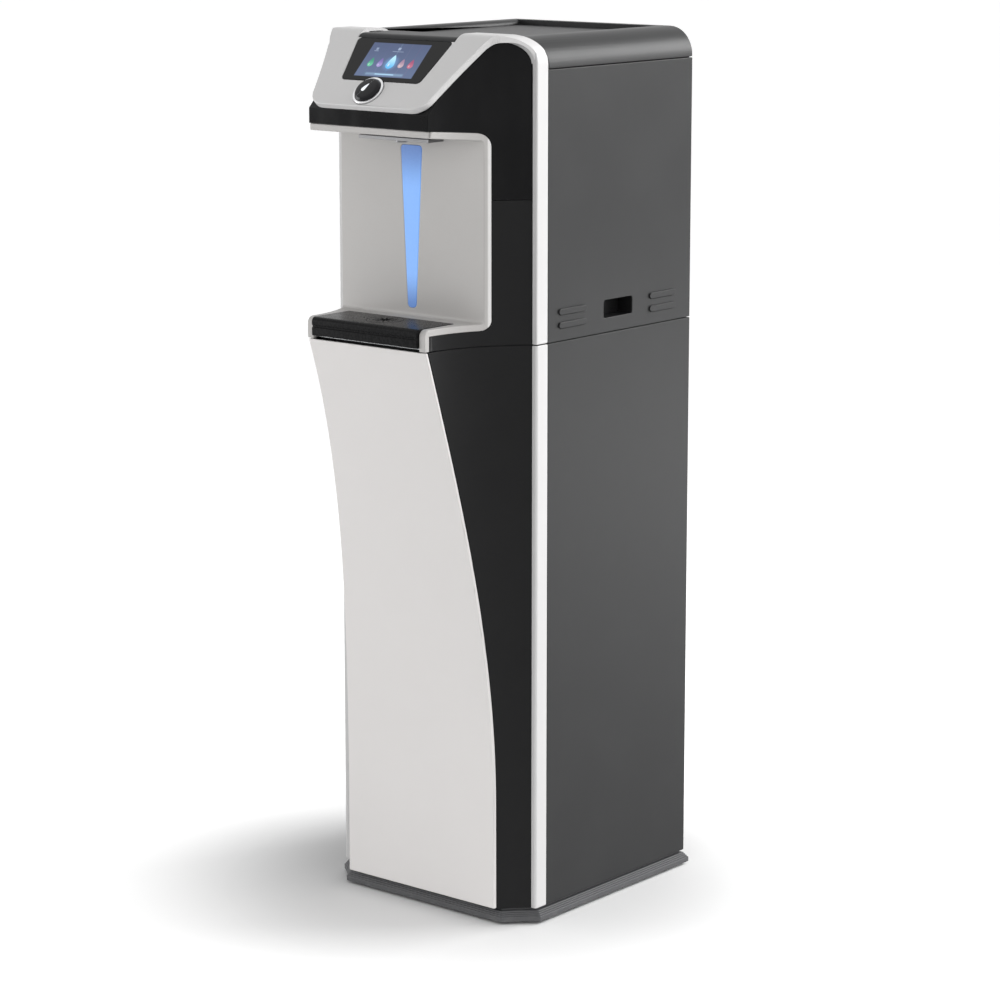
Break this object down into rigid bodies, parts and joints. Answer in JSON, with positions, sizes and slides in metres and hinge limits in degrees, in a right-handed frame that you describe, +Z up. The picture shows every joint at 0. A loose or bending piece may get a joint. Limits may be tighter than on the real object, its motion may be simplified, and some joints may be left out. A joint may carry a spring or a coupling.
{
  "type": "floor-standing water dispenser",
  "caption": "Floor-standing water dispenser: tall cabinet with a forward-curving front, a niche with a drip tray, and a sloping touch console above it.",
  "frame": {"origin": "on the floor, at the middle of the object's outline", "axes": "+Z up, -Y the front with the niche, +X the object's right side seen from the front"},
  "size_m": [0.4, 0.544, 1.335],
  "materials": {
    "dark_panel": "satin dark grey paint",
    "base_dark": "fine-grained dark grey moulding",
    "satin_black": "satin black moulding",
    "gloss_black": "gloss black moulding",
    "silver_white": "satin silver-white lacquer",
    "warm_white": "satin warm white lacquer",
    "niche_silver": "satin silver-grey moulding",
    "lens_blue": "lit blue diffuser",
    "display_glass": "black-backed display glass",
    "display": "lit display",
    "button_black": "gloss black dome",
    "ring_silver": "bright metal",
    "steel": "drawn stainless steel",
    "zinc_sheet": "zinc-coated sheet",
    "black_rubber": "black rubber",
    "black_steel": "black enamel",
    "foam": "rigid insulating foam",
    "board": "green circuit board",
    "white_plastic": "white moulding",
    "tube": "polyethylene tube",
    "brass_part": "machined brass",
    "copper_line": "drawn copper",
    "switch_red": "red rocker",
    "switch_green": "green rocker"
  },
  "bodies": {
    "housing": {"base_plinth": "base_dark", "cabinet_frame": "zinc_sheet", "lower_side_panel_left": "dark_panel", "lower_side_panel_right": "dark_panel", "lower_rear_panel": "dark_panel", "lower_cheek_left": "satin_black", "lower_cheek_right": "satin_black", "lower_trim_left": "silver_white", "lower_trim_right": "silver_white", "panel_catches": "white_plastic", "deck_plate": "zinc_sheet", "filter_bracket": "zinc_sheet", "filter_head": "white_plastic", "inlet_fitting": "brass_part", "pressure_regulator": "brass_part", "supply_tube": "tube", "filtered_tube": "tube", "chassis_base": "zinc_sheet", "upper_side_panel_left": "dark_panel", "upper_side_panel_right": "dark_panel", "hand_cups": "satin_black", "upper_rear_panel": "dark_panel", "top_cover": "dark_panel", "top_inlay": "satin_black", "console_frame": "silver_white", "upper_cheek_left": "satin_black", "upper_cheek_right": "satin_black", "head_shell": "gloss_black", "niche_liner": "niche_silver", "light_lens": "lens_blue", "light_board": "board", "nozzle_plate": "ring_silver", "nozzle": "satin_black", "display_glass": "display_glass", "lcd_module": "display", "button_ring": "ring_silver", "control_board": "board", "power_supply": "zinc_sheet", "cold_tank": "steel", "foam_jacket": "foam", "hot_tank": "steel", "compressor": "black_steel", "compressor_grommets": "black_rubber", "condenser": "black_steel", "discharge_tube": "copper_line", "valve_block": "white_plastic", "water_tubes": "tube", "mains_inlet": "satin_black"},
    "front_panel": {"front_panel": "warm_white"},
    "drip_tray": {"drip_tray": "gloss_black"},
    "drain_insert": {"drain_insert": "satin_black"},
    "dispense_button": {"dispense_button": "button_black"},
    "foot_front_left": {"foot_front_left": "black_rubber"},
    "foot_front_right": {"foot_front_right": "black_rubber"},
    "foot_rear_left": {"foot_rear_left": "black_rubber"},
    "foot_rear_right": {"foot_rear_right": "black_rubber"},
    "hot_switch": {"hot_switch": "switch_red"},
    "cold_switch": {"cold_switch": "switch_green"},
    "filter_cartridge_left": {"filter_cartridge_left": "white_plastic"},
    "filter_cartridge_right": {"filter_cartridge_right": "white_plastic"}
  },
  "joints": [
    {"name": "front_panel_pull", "type": "slide", "parent": "housing", "child": "front_panel", "axis": [0, -1, 0], "range_m": [0, 0.12]},
    {"name": "drip_tray_pull", "type": "slide", "parent": "housing", "child": "drip_tray", "axis": [0, -1, 0], "range_m": [0, 0.1]},
    {"name": "drain_insert_lift", "type": "slide", "parent": "drip_tray", "child": "drain_insert", "axis": [0, 0, 1], "range_m": [0, 0.03]},
    {"name": "dispense_press", "type": "slide", "parent": "housing", "child": "dispense_button", "axis": [0, 0.6997, -0.7145], "range_m": [0, 0.002], "stiffness_N_per_m": 900, "springref_m": -0.002},
    {"name": "foot_front_left_screw", "type": "slide", "parent": "housing", "child": "foot_front_left", "axis": [0, 0, -1], "range_m": [0, 0.01]},
    {"name": "foot_front_right_screw", "type": "slide", "parent": "housing", "child": "foot_front_right", "axis": [0, 0, -1], "range_m": [0, 0.01]},
    {"name": "foot_rear_left_screw", "type": "slide", "parent": "housing", "child": "foot_rear_left", "axis": [0, 0, -1], "range_m": [0, 0.01]},
    {"name": "foot_rear_right_screw", "type": "slide", "parent": "housing", "child": "foot_rear_right", "axis": [0, 0, -1], "range_m": [0, 0.01]},
    {"name": "hot_switch_rock", "type": "hinge", "parent": "housing", "child": "hot_switch", "pos_m": [0.05, 0.236, 0.9345], "axis": [1, 0, 0], "range_deg": [0, 10]},
    {"name": "cold_switch_rock", "type": "hinge", "parent": "housing", "child": "cold_switch", "pos_m": [0.075, 0.236, 0.9345], "axis": [1, 0, 0], "range_deg": [0, 10]},
    {"name": "filter_left_turn", "type": "hinge", "parent": "housing", "child": "filter_cartridge_left", "pos_m": [-0.042, -0.0376, 0.8], "axis": [0, 0, 1], "range_deg": [0, 90]},
    {"name": "filter_right_turn", "type": "hinge", "parent": "housing", "child": "filter_cartridge_right", "pos_m": [0.042, -0.0376, 0.8], "axis": [0, 0, 1], "range_deg": [0, 90]}
  ]
}
